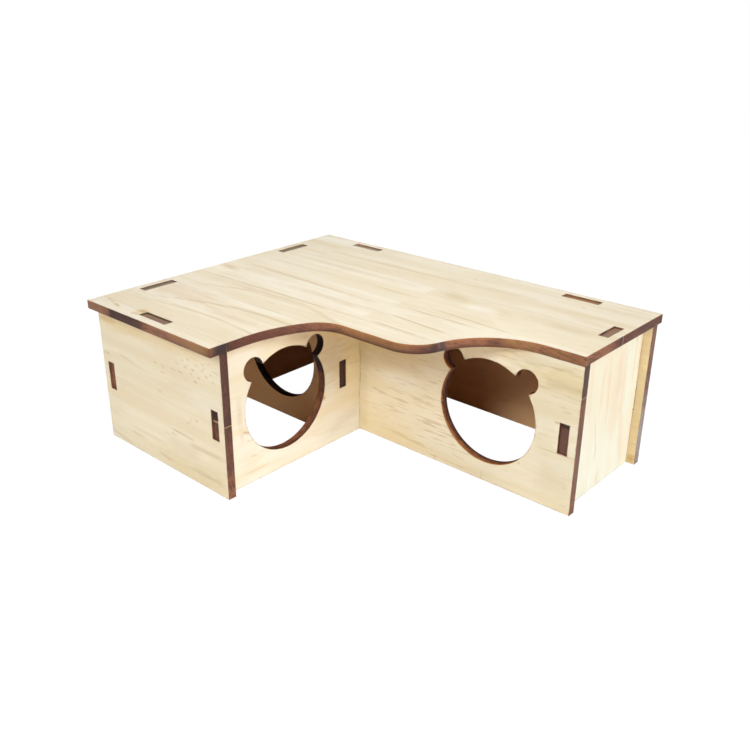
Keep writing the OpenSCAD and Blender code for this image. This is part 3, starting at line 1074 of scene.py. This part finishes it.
# %% Right end wall
add_board(
    "right_end_wall", grain="Z", through="X", inner=(-1, -200, 200), seed=61, joint=51.0, flecks=0.1,
    figure=0.45, pale=(240, 241, 225), tan=(237, 226, 198), blush=(243, 231, 208), ink=(236, 208, 174),
    glow=(240, 228, 198),
    streaks=(
        (74, 57.7, 22, 3.0, 0.0, 0.5), (67, 66, 30, 3.4, -0.075, 0.7), (60, 86, 34, 5.0, -0.03, 0.6),
        (71, 79.6, 26, 9.0, 0.0, 0.6), (40, 55, 17, 1.6, -0.2, 0.8), (27, 57.7, 8, 1.3, 0.0, 0.9),
        (24, 92, 30, 6.0, -0.22, 0.6), (80, 99.0, 26, 1.6, 0.0, 0.6), (78, 42, 26, 4.0, 0.0, 0.4),
        (52, 78, 32, 13, 0.0, 0.45), (26, 103, 34, 7, 0.0, 0.3), (84, 106, 24, 5, 0.0, 0.6),
    ),
    warm=((76, 66, 44, 50, 0.0, 0.7),),
    sap=((64, 31, 12, 6, 0.0, 0.4),),
    resin=((6, 63.8, 7, 2.2, 0.0, 0.3), (93, 97.5, 2.0, 1.2, 0.0, 0.5)),
    # The dark tint at the top of the tab in the front door wall's slot is painted shadow of the slot's
    # rim.
    tints=(
        ((106, 72, 60), ((50, 22, 18, 8, 0.0, 0.9),)), ((56, 40, 38), ((59, 22, 3, 8, 0.0, 1.0),)),
        ((146, 114, 94), ((105, 60, 4, 60, 0.0, 1.0),)),
    ),
)

# %% [markdown]
# ## The back wall
#
# The back wall's end stands out behind the right end wall, and its inner face
# shows through the doors. It's the warmest of the planks. The tops of its two tabs
# differ in tone, so one tint for both would be wrong, and each has its own. Its
# end is greyer in the lower half.

# %% Back wall
add_board(
    "back_wall", grain="X", through="Y", inner=(-1, -138, 138), seed=71, joint=47.0, pale=(246, 226, 182),
    tan=(234, 211, 164), blush=(243, 221, 174), smoke=(255, 226, 212),
    streaks=((147, 34, 6, 70, 0.0, 0.5),),
    resin=((147, 4, 4, 4, 0.0, 0.8),),
    tints=(
        ((154, 134, 108), ((-97, 105, 24, 4, 0.0, 1.0),)),
        ((156, 116, 78), ((97, 105, 24, 4, 0.0, 1.0),)), ((140, 110, 94), ((150, 84, 3, 40, 0.0, 0.6),)),
        ((158, 148, 142), ((150, 22, 3, 46, 0.0, 0.95),)),
    ),
)

# %% [markdown]
# ## The floor
#
# The house stands on plain white that has no border. A bright diffuse plane would
# do, but it would have to be lit until it's white, and would then throw that light
# into the doors. So the floor is a matte disc that glows for the camera only: the
# Light Path node tells a camera ray from the light that bounces. A little of the
# matte white stays in the mix, for a trace of the soft shadow.

# %% Floor
FLOOR_RADIUS = 30.0
FLOOR_SIDES = 64
FLOOR_GLOW = 0.96
GLOW_STRENGTH = 1.04
MATTE_WHITE = (0.9, 0.9, 0.9, 1)
WHITE = (1.0, 1.0, 1.0, 1)

floor_mesh = bmesh.new()
bmesh.ops.create_circle(floor_mesh, cap_ends=True, cap_tris=False, segments=FLOOR_SIDES,
                        radius=FLOOR_RADIUS)
floor_data = bpy.data.meshes.new("floor")
floor_mesh.to_mesh(floor_data)
floor_mesh.free()
floor = in_scene("floor", floor_data)

white = bpy.data.materials.new("white_floor")
white.use_nodes = True
white.node_tree.nodes.clear()
w = Wiring(white.node_tree)
matte = w.add("ShaderNodeBsdfDiffuse", {"Color": MATTE_WHITE}).outputs[0]
glow = w.add("ShaderNodeEmission", {"Color": WHITE, "Strength": GLOW_STRENGTH}).outputs[0]
seen = w.add("ShaderNodeLightPath").outputs["Is Camera Ray"]
seen = w.math("MULTIPLY", seen, FLOOR_GLOW)
w.add("ShaderNodeOutputMaterial", w.add("ShaderNodeMixShader", (seen, matte, glow)).outputs[:1])
floor_data.materials.append(white)
print("floor:", FLOOR_RADIUS, "m in radius, glowing for the camera by", FLOOR_GLOW)

# %% [markdown]
# ## The sky
#
# A plain white sky would be the simplest light, but it shines into the doors and
# under the roof's edge, and the corners go flat. So it's white for the camera, as
# the floor is, and gives the boards only a faint light from all sides.

# %% Sky
SKY_LIGHT = 0.035

sky = bpy.data.worlds.new("sky")
sky.use_nodes = True
w = Wiring(sky.node_tree)
background = sky.node_tree.nodes["Background"]
background.inputs["Color"].default_value = WHITE
seen = w.add("ShaderNodeLightPath").outputs["Is Camera Ray"]
seen = w.math("MULTIPLY", seen, 1.0 - SKY_LIGHT)
w.feed(background.inputs["Strength"], w.math("ADD", SKY_LIGHT, seen))
bpy.context.scene.world = sky
print("the sky lights the boards with", SKY_LIGHT, "and shows white")

# %% [markdown]
# ## The lamps
#
# The light comes from soft square lamps that stand high, as in a studio: a strong
# one on the right, a weaker one in front, and one on the left and one behind that
# keep the far sides from going dark. A narrow one above adds a little to the roof
# alone. A sun would be one line, but its shadows are too sharp for a white table.

# %% Lamps
AIM_POINT = Vector((0, 0, 0.05))


def lamp(name, place, size, power, beam=180):
    """A square soft lamp, aimed at the middle of the house, with a beam of some degrees."""
    data = bpy.data.lights.new(name, "AREA")
    data.shape, data.size, data.energy, data.spread = "SQUARE", size, power, math.radians(beam)
    thing = in_scene(name, data)
    thing.location = place
    thing.rotation_euler = (AIM_POINT - Vector(place)).to_track_quat("-Z", "Y").to_euler()
    print(f"{name}: {power} W, {size} m across")


lamp("key_lamp", (1.4, -0.1, 1.05), 1.2, 24.3)
lamp("front_lamp", (0.2, -1.35, 1.09), 0.5, 12.5)
lamp("left_lamp", (-1.5, -0.8, 0.8), 1.0, 4.6)
lamp("back_lamp", (-1.2, 1.2, 1.0), 1.0, 6.2)
lamp("roof_lamp", (0, 0, 1.7), 0.4, 0.21, beam=25)
bpy.context.scene.view_settings.view_transform = "Standard"

# %% [markdown]
